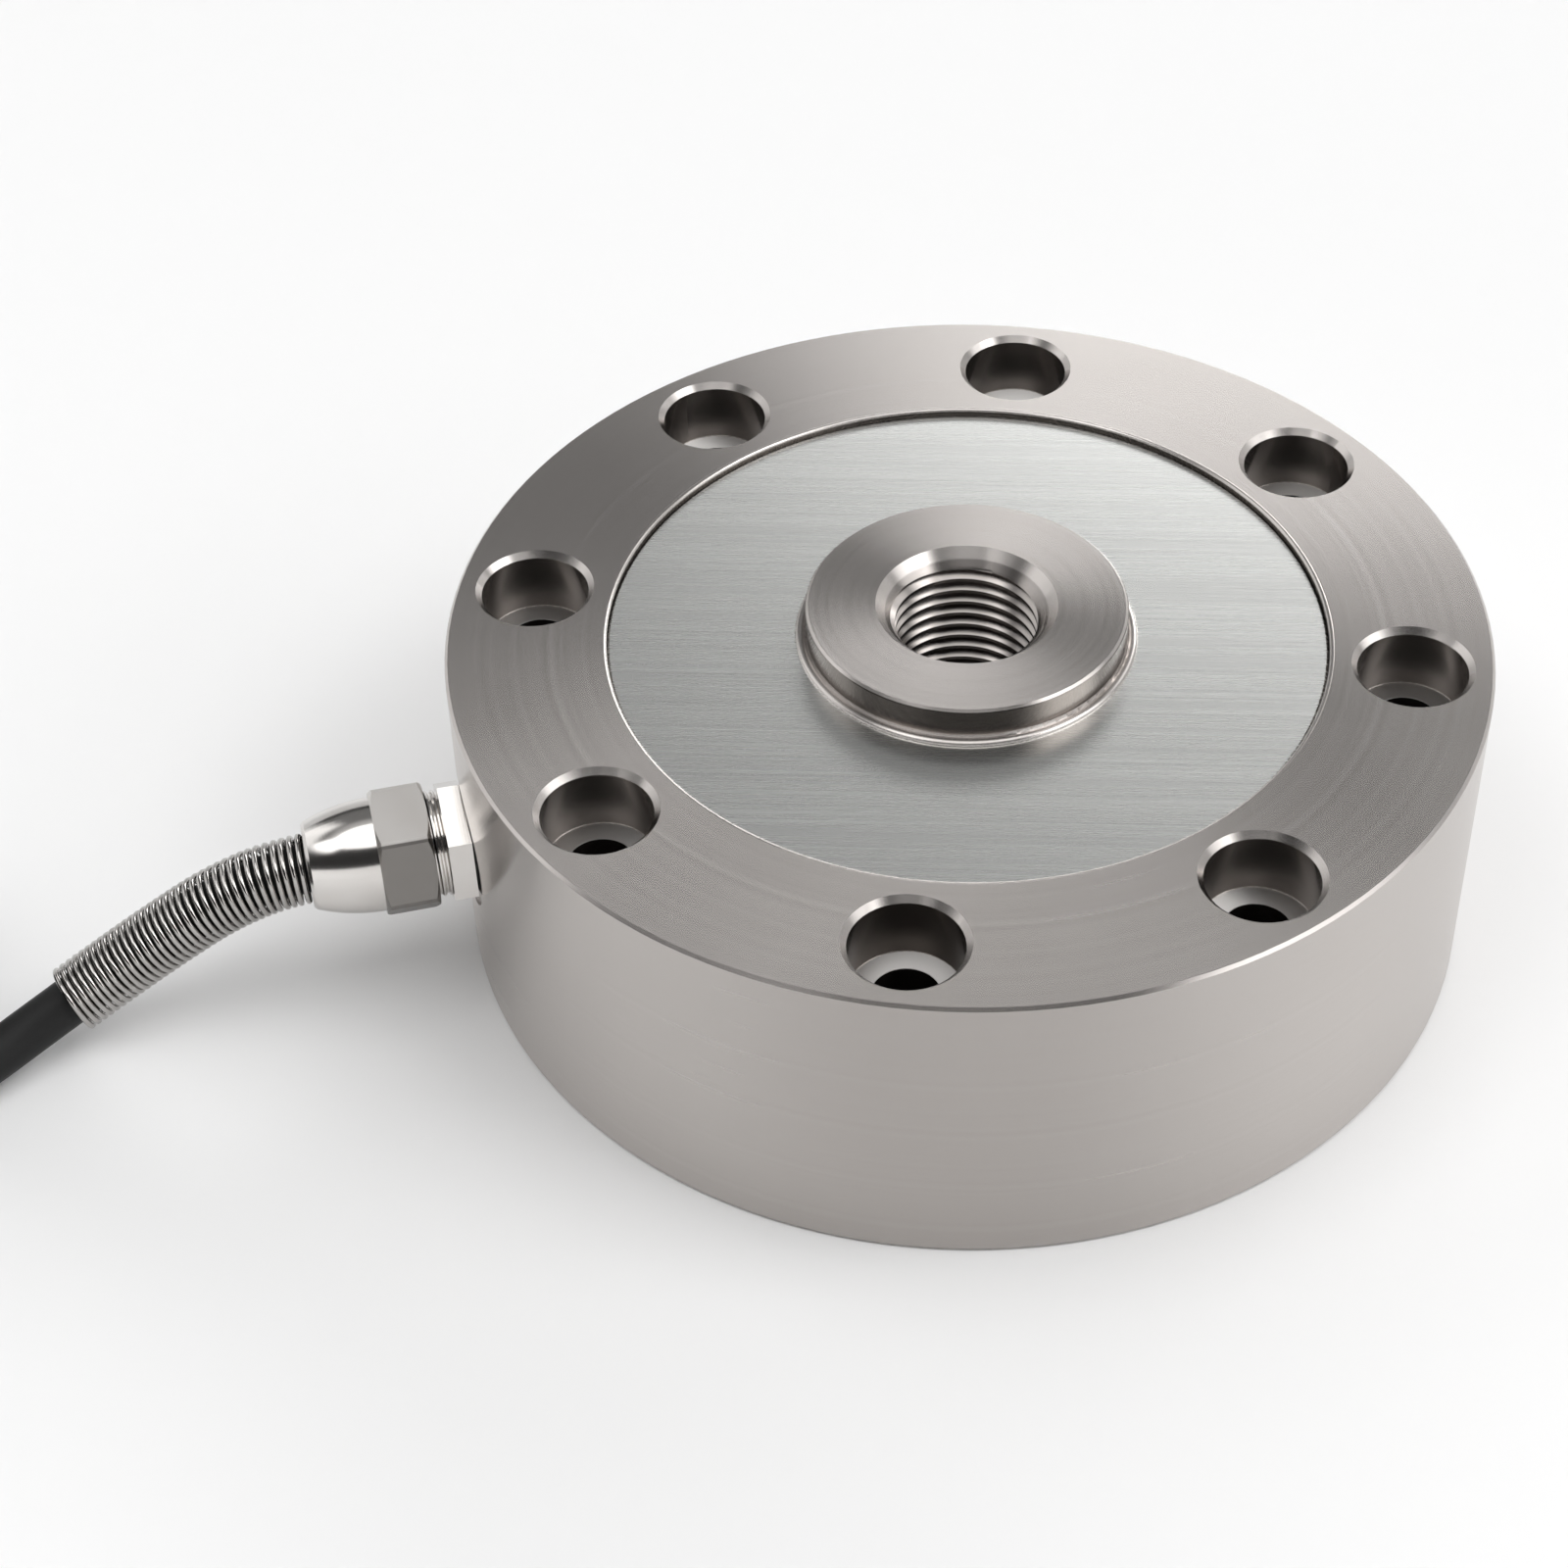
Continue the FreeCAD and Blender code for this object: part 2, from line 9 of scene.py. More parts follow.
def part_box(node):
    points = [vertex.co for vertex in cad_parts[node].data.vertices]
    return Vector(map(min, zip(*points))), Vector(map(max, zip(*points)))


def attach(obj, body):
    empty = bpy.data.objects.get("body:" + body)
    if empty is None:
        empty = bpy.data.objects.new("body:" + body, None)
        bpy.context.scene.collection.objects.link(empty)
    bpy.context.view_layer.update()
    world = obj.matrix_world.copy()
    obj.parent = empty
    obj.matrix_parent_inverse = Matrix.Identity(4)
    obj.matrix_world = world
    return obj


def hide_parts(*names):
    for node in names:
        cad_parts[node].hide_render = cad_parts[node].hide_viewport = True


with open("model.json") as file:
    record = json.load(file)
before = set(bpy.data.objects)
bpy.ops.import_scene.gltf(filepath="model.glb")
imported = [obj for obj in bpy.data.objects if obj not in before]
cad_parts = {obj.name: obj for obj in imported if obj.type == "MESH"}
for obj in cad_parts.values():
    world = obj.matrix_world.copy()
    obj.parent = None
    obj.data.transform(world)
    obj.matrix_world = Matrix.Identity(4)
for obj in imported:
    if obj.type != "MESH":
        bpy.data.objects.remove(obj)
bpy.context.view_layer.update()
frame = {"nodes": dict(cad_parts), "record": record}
nodes = frame["nodes"]
mm = 0.001
print("frame loaded:", len(nodes), "nodes")


# Sizes that several pieces share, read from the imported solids
ringLow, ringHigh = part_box("spring_element")
nutLow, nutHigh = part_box("clamp_nut")
coilLow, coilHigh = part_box("cable_coil")
coverLow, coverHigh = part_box("top_cover")
ringTop = coverHigh.z + 0.7 * mm          # the cover is set down by this much
boltPlan = next(mount["dims"] for mount in frame["record"]["mounts"] if mount["name"] == "bolt_circle")
glandHeight = (nutLow.z + nutHigh.z) / 2
noseTip = nutLow.x
nutFace = noseTip + 7.1 * mm               # where the nose ends and the flats begin
cableDiameter = 5.0 * mm


# Camera: it stands at a bearing and an elevation round the hub, then turns a little off the aim point
cameraPlan = {
    "sensor": 36.0,          # mm
    "clipStart": 0.01,
    "bearing": 253.7,        # degrees round the hub's axis, from +X
    "elevation": 42.66,
    "distance": 336.2 * mm,
    "aimHeight": 16.9 * mm,
    "yaw": -3.18,            # degrees, to the object's right in the picture
    "pitch": -0.653,
    "roll": 1.2,
    "fieldWidth": 0.4873,    # width of the picture at one metre
}


# Camera axes: back points from the aim point to the camera; yaw, pitch and roll turn the axes one after another
def placeCamera(plan):
    bearing = math.radians(plan["bearing"])
    elevation = math.radians(plan["elevation"])
    yaw = math.radians(plan["yaw"])
    pitch = math.radians(plan["pitch"])
    roll = math.radians(plan["roll"])
    level = Vector((math.cos(bearing), math.sin(bearing), 0))
    back = level * math.cos(elevation) + Vector((0, 0, math.sin(elevation)))
    right = Vector((-math.sin(bearing), math.cos(bearing), 0))
    upward = back.cross(right)
    forward = -back
    turnedRight = right * math.cos(yaw) - forward * math.sin(yaw)
    turnedForward = right * math.sin(yaw) + forward * math.cos(yaw)
    tiltedUp = upward * math.cos(pitch) - turnedForward * math.sin(pitch)
    tiltedForward = upward * math.sin(pitch) + turnedForward * math.cos(pitch)
    imageRight = turnedRight * math.cos(roll) + tiltedUp * math.sin(roll)
    imageUp = tiltedUp * math.cos(roll) - turnedRight * math.sin(roll)
    data = bpy.data.cameras.new("camera")
    data.sensor_width = plan["sensor"]
    data.lens = data.sensor_width / plan["fieldWidth"]
    data.clip_start = plan["clipStart"]
    camera = bpy.data.objects.new("camera", data)
    turn = Matrix((imageRight, imageUp, -tiltedForward)).transposed().to_4x4()
    stand = Vector((0, 0, plan["aimHeight"])) + back * plan["distance"]
    camera.matrix_world = Matrix.Translation(stand) @ turn
    bpy.context.scene.collection.objects.link(camera)
    bpy.context.scene.camera = camera


placeCamera(cameraPlan)
print("camera placed")


# Quads of a grid: each joins a point to its next column and row, and a closed side comes back to its first
def gridFaces(rows, columns, closeRows=False, closeColumns=False):
    index = np.arange(rows * columns).reshape(rows, columns)
    if closeRows:
        index = np.vstack([index, index[:1]])
    if closeColumns:
        index = np.hstack([index, index[:, :1]])
    corners = [index[:-1, :-1], index[:-1, 1:], index[1:, 1:], index[1:, :-1]]
    return np.stack(corners, -1).reshape(-1, 4).tolist()


# Object at the origin from an array of points, shaded smooth; a piece of the stage rides on no body
def newPiece(name, points, faces, body="root"):
    mesh = bpy.data.meshes.new(name)
    mesh.from_pydata(np.asarray(points).reshape(-1, 3), [], faces)
    mesh.update()
    mesh.shade_smooth()
    piece = bpy.data.objects.new(name, mesh)
    bpy.context.scene.collection.objects.link(piece)
    if body:
        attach(piece, body)
    return piece


# Smooth step: 3t^2 - 2t^3 of how far the value has gone from start over a span, held between 0 and 1
def smoothStep(value, start, span):
    t = np.clip((value - start) / span, 0, 1)
    return t * t * (3 - 2 * t)


# Cable: out of the gland, down to the floor and into the put-away coil
cablePlan = {
    "route": [              # mm out from the nose, mm sideways, mm above the floor
        (-8.0, 0.0, 17.0),
        (1.1, 0.0, 17.0),
        (8.4, 0.0, 15.05),
        (15.3, 0.0, 11.0),
        (22.2, -0.5, 7.0),
        (28.8, -2.4, 4.3),
        (35.0, -5.4, 2.8),
        (41.9, -9.5, 2.5),
        (51.3, -15.3, 2.5),
        (61.5, -21.8, 2.5),
    ],
    "length": 2.97,         # metres from the gland to the end of the jacket
    "turnsWide": 4,
    "turnsHigh": 4,
    "entryBearing": 302.9,  # degrees round the coil where the lead runs in; it winds clockwise
    "pointsPerTurn": 24,
    "firstShift": 285.0,    # degrees turned before the first step to the next turn
    "shiftSpan": 45.0,
    "shiftLag": 15.0,       # each layer steps this much earlier, so that crossing turns pass clear
    "tailSweep": 105.0,
    "tieBearing": 210.0,
    "tieReach": 40.0,
    "tieLift": 1.0 * mm,
    "spanSteps": 8,         # steps between two points of the curve
    "bevelSteps": 5,
    "order": 3,
}


# Route points of the lead, in metres: distance out along -X from the nose
def leadPoints(plan):
    route = np.array(plan["route"]) * mm
    return np.stack([noseTip - route[:, 0], route[:, 1], route[:, 2]], -1)


# Coil points: the angle turned grows evenly; the radius steps in or out by one cable each turn, and the height up by
# one cable each layer, as smooth steps of the angle; a point stands outside its turn by 1 / cos(half a step), because
# the spline passes inside its points; near the tie the lower layers are lifted a little
def coilPoints(plan):
    centre = (coilLow + coilHigh) / 2
    meanRadius = (coilHigh.y - coilLow.y) / 2 - plan["turnsWide"] * cableDiameter / 2
    outerRadius = meanRadius + (plan["turnsWide"] - 1) * cableDiameter / 2
    laps = plan["turnsWide"] * 360
    lastClimb = plan["firstShift"] + (laps - 2 * plan["shiftLag"]) * (plan["turnsHigh"] - 1) + laps
    lastClimb -= plan["shiftLag"] + 360
    total = lastClimb + plan["shiftSpan"] + plan["tailSweep"]
    count = round(total / 360 * plan["pointsPerTurn"])
    angle = np.linspace(0, total, count + 1)[1:]
    radius = np.full(count, outerRadius)
    height = np.full(count, cableDiameter / 2)
    for layer in range(plan["turnsHigh"]):
        inward = -1 if layer % 2 else 1
        first = plan["firstShift"] + (laps - 2 * plan["shiftLag"]) * layer
        for turn in range(plan["turnsWide"] - 1):
            radius -= inward * cableDiameter * smoothStep(angle, first + 360 * turn, plan["shiftSpan"])
        climb = first - plan["shiftLag"] + laps - 360
        height += cableDiameter * smoothStep(angle, climb, plan["shiftSpan"])
    radius -= (outerRadius - meanRadius) * smoothStep(angle, lastClimb, plan["shiftSpan"])
    bearing = np.radians(plan["entryBearing"] - angle)
    fromTie = (plan["entryBearing"] - angle - plan["tieBearing"] + 180) % 360 - 180
    squeeze = 1 - smoothStep(np.abs(fromTie), 0, plan["tieReach"])
    coilTop = plan["turnsHigh"] * cableDiameter
    height += squeeze * plan["tieLift"] * (1 - height / coilTop) * (height < coilTop)
    stand = radius / math.cos(math.pi / plan["pointsPerTurn"])
    east = centre.x + stand * np.cos(bearing)
    north = centre.y + stand * np.sin(bearing)
    return np.stack([east, north, height], -1)


# Open NURBS curve of one spline through the run of these control points; a bevel of one metre is scaled by each
# point's own radius
def routeCurve(name, points, radius=0.0):
    data = bpy.data.curves.new(name, "CURVE")
    data.dimensions = "3D"
    data.resolution_u = cablePlan["spanSteps"]
    data.bevel_depth = 1.0 if radius else 0.0
    data.bevel_resolution = cablePlan["bevelSteps"]
    data.use_fill_caps = True
    spline = data.splines.new("NURBS")
    spline.points.add(len(points) - 1)
    spline.points.foreach_set("co", np.hstack([points, np.ones((len(points), 1))]).ravel())
    spline.points.foreach_set("radius", np.full(len(points), radius))
    spline.order_u = cablePlan["order"]
    spline.use_endpoint_u = True
    piece = bpy.data.objects.new(name, data)
    bpy.context.scene.collection.objects.link(piece)
    return piece


leadRoute = leadPoints(cablePlan)
cable = routeCurve("cable", np.vstack([leadRoute, coilPoints(cablePlan)]), cableDiameter / 2)
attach(cable, "root")
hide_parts("cable_lead", "cable_coil", "cable_tail")
print("cable laid")


# Strain relief: one wire wound closely round the cable, following the cable's own line
springPlan = {
    "start": 3.8 * mm,        # how far inside the nose the first turn lies
    "turns": 41,
    "pitch": 0.79 * mm,
    "wire": 0.62 * mm,
    "meanRadius": 3.32 * mm,  # to the wire's middle
    "stepsPerTurn": 36,
    "sides": 10,
}


# Points along the cable's smooth line, read from its spline: the distance run is the sum of its steps, and even
# distances are looked up in it
def cableLine(start, length, count):
    guide = routeCurve("guide", leadRoute)
    bpy.context.view_layer.update()
    graph = bpy.context.evaluated_depsgraph_get()
    mesh = bpy.data.meshes.new_from_object(guide.evaluated_get(graph))
    line = np.zeros(len(mesh.vertices) * 3)
    mesh.vertices.foreach_get("co", line)
    line = line.reshape(-1, 3)
    bpy.data.objects.remove(guide)
    bpy.data.meshes.remove(mesh)
    run = np.concatenate([[0], np.cumsum(np.linalg.norm(np.diff(line, axis=0), axis=1))])
    first = np.interp(-(noseTip + start), -line[:, 0], run)
    wanted = first + np.linspace(0, length, count)
    return np.stack([np.interp(wanted, run, line[:, axis]) for axis in range(3)], -1)


# Unit vectors: each vector over its own length
def unit(vectors):
    return vectors / np.linalg.norm(vectors, axis=-1, keepdims=True)


# Wire: a helix round the line, from the cosine and sine of an angle that grows evenly, and a circle of the wire's
# radius carried along the helix; both ends are capped
def woundSpring(plan):
    count = plan["turns"] * plan["stepsPerTurn"] + 1
    line = cableLine(plan["start"], plan["turns"] * plan["pitch"], count)
    along = unit(np.gradient(line, axis=0))
    side = unit(np.cross(along, [0, 0, 1]))
    over = np.cross(side, along)
    angle = np.linspace(0, 2 * math.pi * plan["turns"], count)[:, None]
    outward = np.cos(angle) * side + np.sin(angle) * over
    helix = line + plan["meanRadius"] * outward
    path = unit(np.gradient(helix, axis=0))
    across = np.cross(path, outward)
    ring = np.linspace(0, 2 * math.pi, plan["sides"], endpoint=False)[None, :, None]
    reach = np.cos(ring) * outward[:, None] + np.sin(ring) * across[:, None]
    points = helix[:, None] + plan["wire"] / 2 * reach
    firstRing = list(range(plan["sides"]))
    lastRing = list(range((count - 1) * plan["sides"], count * plan["sides"]))
    faces = gridFaces(count, plan["sides"], closeColumns=True)
    return points, faces + [firstRing[::-1], lastRing]


springPoints, springFaces = woundSpring(springPlan)
spring = newPiece("strain_spring", springPoints, springFaces)
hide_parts("strain_relief_spring")
print("spring wound:", len(springFaces), "faces")


# Threads: the hub's, cut into the bore and its two chamfers, and the gland's, seen between its body and its nut
hubThread = {
    "pitch": 1.5 * mm,
    "root": 7.97 * mm,
    "crest": 7.19 * mm,
    "lead": 0.5,            # where the thread starts, in pitches
    "low": ringLow.z + 0.65 * mm,
    "high": ringHigh.z - 0.05 * mm,
    "mouth": 9.09 * mm,     # radius of the chamfer at both ends
    "wall": 9.3 * mm,       # the sleeve's back, inside the steel
    "columns": 144,
}
threadProfile = {
    "corners": [0, 0.125, 0.4375, 0.6875, 1],   # shares of a pitch: root, flank, crest, flank
    "phases": [0.0, 0.06, 0.125, 0.2, 0.28, 0.36, 0.4375, 0.56, 0.6875, 0.76, 0.84, 0.92],
    "blend": 0.06 * mm,     # rounds the edge between thread and chamfer
    "merge": 0.0005 * mm,
    "sharpAngle": 28,
}
glandThread = {
    "pitch": 0.7 * mm,
    "root": 5.16 * mm,
    "crest": 5.44 * mm,
    "lead": 0.0,
    "low": -nutHigh.x - 1.4 * mm,
    "high": -nutHigh.x,
    "mouth": None,
    "wall": 4.9 * mm,
    "columns": 96,
}


# Thread surface, as radius, angle and height: a row keeps one place on the thread's profile and climbs one pitch a
# turn; the radius is the larger of the profile and the 45 degree chamfers, as half of their sum and of their
# difference with a small blend, and heights are held between the two ends
def threadRows(plan):
    phase = np.array(threadProfile["phases"])
    profile = [plan["root"], plan["root"], plan["crest"], plan["crest"], plan["root"]]
    shape = np.interp(phase, threadProfile["corners"], profile)
    turns = math.ceil((plan["high"] - plan["low"]) / plan["pitch"]) + 3    # spare turns at both ends
    start = plan["low"] + plan["pitch"] * (np.arange(turns)[:, None] + phase + plan["lead"] - 2).ravel()
    angle = np.linspace(0, 2 * math.pi, plan["columns"] + 1)
    height = np.clip(start[:, None] + plan["pitch"] * angle / (2 * math.pi), plan["low"], plan["high"])
    radius = np.repeat(np.tile(shape, turns)[:, None], plan["columns"] + 1, 1)
    if plan["mouth"]:
        fromEnd = np.minimum(plan["high"] - height, height - plan["low"])
        chamfer = plan["mouth"] - fromEnd
        radius = (radius + chamfer + np.hypot(radius - chamfer, threadProfile["blend"])) / 2
    back = np.full((1, plan["columns"] + 1), plan["wall"])
    inset = abs(plan["wall"] - plan["root"]) / 4
    radius = np.vstack([back, radius, back])
    height = np.vstack([0 * back + plan["low"] + inset, height, 0 * back + plan["high"] - inset])
    return radius, np.repeat(angle[None], len(radius), 0), height


# Threaded sleeve: the rows closed through the back wall, with doubled points merged and faces turned outwards
def threadPiece(name, plan, place):
    points = place(*threadRows(plan))
    piece = newPiece(name, points, gridFaces(*points.shape[:2], closeRows=True))
    made = bmesh.new()
    made.from_mesh(piece.data)
    bmesh.ops.remove_doubles(made, verts=made.verts, dist=threadProfile["merge"])
    bmesh.ops.recalc_face_normals(made, faces=made.faces)
    made.to_mesh(piece.data)
    made.free()
    piece.data.set_sharp_from_angle(angle=math.radians(threadProfile["sharpAngle"]))
    return piece


# Point round the hub's axis, from radius, angle and height
def roundHub(radius, angle, height):
    return np.stack([radius * np.cos(angle), radius * np.sin(angle), height], -1)


# Point round the gland's axis, from radius, angle and how far out along -X it lies
def roundGland(radius, angle, station):
    return np.stack([-station, radius * np.sin(angle), glandHeight + radius * np.cos(angle)], -1)


hubScrew = threadPiece("hub_thread", hubThread, roundHub)
glandScrew = threadPiece("gland_thread", glandThread, roundGland)
print("threads cut:", len(hubScrew.data.polygons), "faces in the hub")


# Rounded edges: a bead over the joint between the cover and the hub's foot, and the lip of the recess
edgePlans = {
    "hub_bead": {
        "radius": 16.74 * mm,
        "level": coverHigh.z,
        "halfWidth": 0.52 * mm,
        "rise": 0.46 * mm,
    },
    "recess_lip": {
        "radius": coverHigh.x + 0.4 * mm,
        "level": ringTop - 0.28 * mm,
        "halfWidth": 0.34 * mm,
        "rise": 0.30 * mm,
    },
}
edgeSides = 16
edgeColumns = 320


# Ring of elliptic section: radius and height follow the cosine and the sine of the angle round the section
def roundEdge(plan):
    section = np.linspace(0, 2 * math.pi, edgeSides, endpoint=False)
    circle = np.linspace(0, 2 * math.pi, edgeColumns, endpoint=False)
    turn, angle = np.meshgrid(section, circle, indexing="ij")
    radius = plan["radius"] + plan["halfWidth"] * np.cos(turn)
    height = plan["level"] + plan["rise"] * np.sin(turn)
    return roundHub(radius, angle, height)


edges = []
edgeFaces = gridFaces(edgeSides, edgeColumns, closeRows=True, closeColumns=True)
for name, plan in edgePlans.items():
    edges.append(newPiece(name, roundEdge(plan), edgeFaces))
print("edges rounded:", len(edges))


# Shader maths: one output socket, with arithmetic that adds Math nodes to the same tree
class Shade:
    def __init__(self, tree, socket=None):
        self.tree = tree
        self.socket = socket

    # any node by its type: its settings first, then a value or a link for each socket
    def node(self, kind, settings=None, sockets=None, out=0):
        made = self.tree.nodes.new(kind)
        for key, value in (settings or {}).items():
            setattr(made, key, value)
        for key, value in (sockets or {}).items():
            if isinstance(value, Shade):
                self.tree.links.new(value.socket, made.inputs[key])
            else:
                made.inputs[key].default_value = value
        return Shade(self.tree, made.outputs[out] if made.outputs else None)

    # another output of the same node
    def output(self, name):
        return Shade(self.tree, self.socket.node.outputs[name])

    # the three values of this vector
    def axes(self):
        x = self.node("ShaderNodeSeparateXYZ", {}, {0: self})
        return x, x.output("Y"), x.output("Z")

    # Math node on the values given
    def math(self, operation, *values):
        return self.node("ShaderNodeMath", {"operation": operation}, dict(enumerate(values)))

    def __add__(self, other):
        return self.math("ADD", self, other)

    def __radd__(self, other):
        return self.math("ADD", other, self)

    def __sub__(self, other):
        return self.math("SUBTRACT", self, other)

    def __rsub__(self, other):
        return self.math("SUBTRACT", other, self)

    def __mul__(self, other):
        return self.math("MULTIPLY", self, other)

    def __rmul__(self, other):
        return self.math("MULTIPLY", other, self)

    def __truediv__(self, other):
        return self.math("DIVIDE", self, other)

    def __rtruediv__(self, other):
        return self.math("DIVIDE", other, self)

    def __pow__(self, other):
        return self.math("POWER", self, other)

    # soft mask: 0 below low, 1 above high
    def rise(self, low, high):
        sockets = {"Value": self, "From Min": low, "From Max": high}
        return self.node("ShaderNodeMapRange", {"interpolation_type": "SMOOTHSTEP"}, sockets)

    # noise on this value, or on this vector
    def noise(self, scale, detail=2.0, line=False):
        sockets = {"W" if line else "Vector": self, "Scale": scale, "Detail": detail}
        return self.node("ShaderNodeTexNoise", {"noise_dimensions": "1D" if line else "3D"}, sockets)

    # colour between two, by this factor
    def between(self, first, second):
        return self.node("ShaderNodeMix", {"data_type": "RGBA"}, {0: self, 6: first, 7: second}, out=2)


# Material with an empty tree, and its Object coordinates
def newFinish(name):
    material = bpy.data.materials.new(name)
    material.use_nodes = True
    material.node_tree.nodes.clear()
    return material, Shade(material.node_tree).node("ShaderNodeTexCoord", out="Object")


# One Principled shader with these sockets, and a bump of a height in metres
def coat(place, sockets, bump=None, depth=1e-6):
    if bump is not None:
        sockets["Normal"] = place.node("ShaderNodeBump", {}, {"Height": bump, "Distance": depth})
    surface = place.node("ShaderNodeBsdfPrincipled", {}, sockets)
    place.node("ShaderNodeOutputMaterial", {}, {"Surface": surface})


# Colour of three equal parts
def grey(value):
    return (value, value, value, 1)


# Plating of the ring and hub; a pair of lengths is a soft mask, from 0 at the first to 1 at the second
platingPlan = {
    "dark": (0.53, 0.495, 0.47, 1),
    "light": (0.61, 0.58, 0.56, 1),
    # colour of the painted shade in the hollows, on the hub's side and on one flank
    "darkTone": (0.10, 0.085, 0.075, 1),
    # lighter tone on the counterbores' ledges: painted light
    "ledgeLight": (0.86, 0.84, 0.82, 1),
    "rough": 0.225,
    "turningScale": 1300,
    "cloudScale": 45,
    "grain": 0.85,                          # how far the turning marks stretch a reflection
    "grainTurn": 0.25,
    "counterWall": (5.6 * mm, 5.9 * mm),    # from a bolt hole's axis
    "ledgeEdge": (5.4 * mm, 5.5 * mm),
    "throughWall": (3.4 * mm, 3.5 * mm),
    "counterTop": (0.55 * mm, 0.75 * mm),   # down from the ring's top
    "counterFloor": (6.85 * mm, 6.95 * mm),
    "ledgeFoot": (7.05 * mm, 7.1 * mm),
    "throughTop": (7.1 * mm, 7.2 * mm),
    "grooveTop": (0.16 * mm, 0.32 * mm),
    "boreWall": (8.1 * mm, 8.3 * mm),       # from the hub's axis
    "hubWall": (16.1 * mm, 16.15 * mm),
    "hubFoot": (17.0 * mm, 17.2 * mm),
    "ringWall": (52.0 * mm, 52.2 * mm),
    "filletTop": (0.6 * mm, 0.8 * mm),      # up from the cover
    "grooveIn": (0.0, 0.05 * mm),           # out from the cover's rim
    "grooveOut": (0.55 * mm, 0.65 * mm),
    "shadedFlankBearing": 253.7,                   # degrees round the hub's axis: painted shade on the flank that faces this bearing
    "shadedFlankAside": (5 * mm, 42 * mm),
    "shadedFlankReach": (0.0, 30 * mm),
    "shadedFlankTop": 0.18,
    "shadedFlankSide": 0.12,
    # painted shade: how far the tone is darkened in each hollow, on the hub's side and in the groove
    "counterShade": 0.78,
    "throughShade": 0.9,
    "boreShade": 0.45,
    "hubShade": 0.75,
    "grooveShade": 0.8,
}


# Distance from the nearest bolt hole: the bearing is folded into one hole's share of the circle, then it is the root
# of the squares along and across that bearing
def holeDistance(x, y, radius):
    share = 2 * math.pi / boltPlan["count"]
    turns = x.math("ARCTAN2", y, x) / share
    folded = (x.math("FRACT", turns) - 0.5) * share
    along = radius * x.math("COSINE", folded) - boltPlan["pcd_mm"] / 2 * mm
    aside = radius * x.math("SINE", folded)
    return (along * along + aside * aside) ** 0.5


# Satin nickel on turned steel: noise over radius plus height gives the turning marks; masks from the radius, the
# depth and the distance to a hole find each wall, and each mask times its weight darkens the tone as painted shade
# in the hollows, on the hub's side and on one flank; the ledges in the counterbores are painted lighter as painted
# light
def nickelSteel(plan):
    material, place = newFinish("nickel_steel")
    x, y, z = place.axes()
    radius = (x * x + y * y) ** 0.5
    depth = ringTop - z
    fromHole = holeDistance(x, y, radius)
    pastFloor = depth.rise(*plan["counterFloor"])
    counter = (1 - fromHole.rise(*plan["counterWall"])) * depth.rise(*plan["counterTop"]) * (1 - pastFloor)
    ledge = (1 - fromHole.rise(*plan["ledgeEdge"])) * pastFloor * (1 - depth.rise(*plan["ledgeFoot"]))
    through = (1 - fromHole.rise(*plan["throughWall"])) * depth.rise(*plan["throughTop"])
    bore = 1 - radius.rise(*plan["boreWall"])
    hubSide = radius.rise(*plan["hubWall"]) * (1 - radius.rise(*plan["hubFoot"]))
    hubSide = hubSide * (z - coverHigh.z).rise(*plan["filletTop"])
    pastCover = radius - coverHigh.x
    groove = pastCover.rise(*plan["grooveIn"]) * (1 - pastCover.rise(*plan["grooveOut"]))
    groove = groove * depth.rise(*plan["grooveTop"]) * z.rise(coverLow.z, coverHigh.z)
    # painted shade on the flank towards this bearing, a little on the top and more on the side
    bearing = math.radians(plan["shadedFlankBearing"])
    aside = x.math("ABSOLUTE", y * math.cos(bearing) - x * math.sin(bearing))
    towards = x * math.cos(bearing) + y * math.sin(bearing)
    shadedFlank = plan["shadedFlankTop"] + radius.rise(*plan["ringWall"]) * plan["shadedFlankSide"]
    shadedFlank = shadedFlank * (1 - aside.rise(*plan["shadedFlankAside"])) * towards.rise(*plan["shadedFlankReach"])
    # painted shade: the hollows, the hub's side, the groove and one flank darkened towards one dark colour
    paintedShade = counter * plan["counterShade"] + through * plan["throughShade"] + bore * plan["boreShade"]
    paintedShade = paintedShade + hubSide * plan["hubShade"] + groove * plan["grooveShade"] + shadedFlank
    rings = (radius + z).noise(plan["turningScale"], 1, line=True)
    cloud = place.noise(plan["cloudScale"], 3)
    tone = (cloud * 0.5 + rings * 0.5).between(plan["dark"], plan["light"])
    # the ledges painted lighter: painted light
    tone = (ledge * (1 - through)).between(tone, plan["ledgeLight"])
    tone = paintedShade.between(tone, plan["darkTone"])
    rough = plan["rough"] + cloud * 0.04 + rings * 0.03 - bore * 0.04 - hubSide * 0.10 + ledge * 0.35
    sockets = {"Base Color": tone, "Metallic": 1.0, "Roughness": rough}
    sockets["Anisotropic"] = plan["grain"]
    sockets["Anisotropic Rotation"] = plan["grainTurn"]
    coat(place, sockets)
    return material


brushPlan = {
    "bearing": 343.7,               # degrees round the hub's axis, along the brushing
    "dark": (0.795, 0.80, 0.78, 1),
    "light": (0.875, 0.88, 0.86, 1),
    "hair": (26, 7000, 300),        # lines per metre along, across and through the sheet
    "streak": (12, 2600, 100),
    "rough": 0.22,
    "depth": 1.9e-6,
}


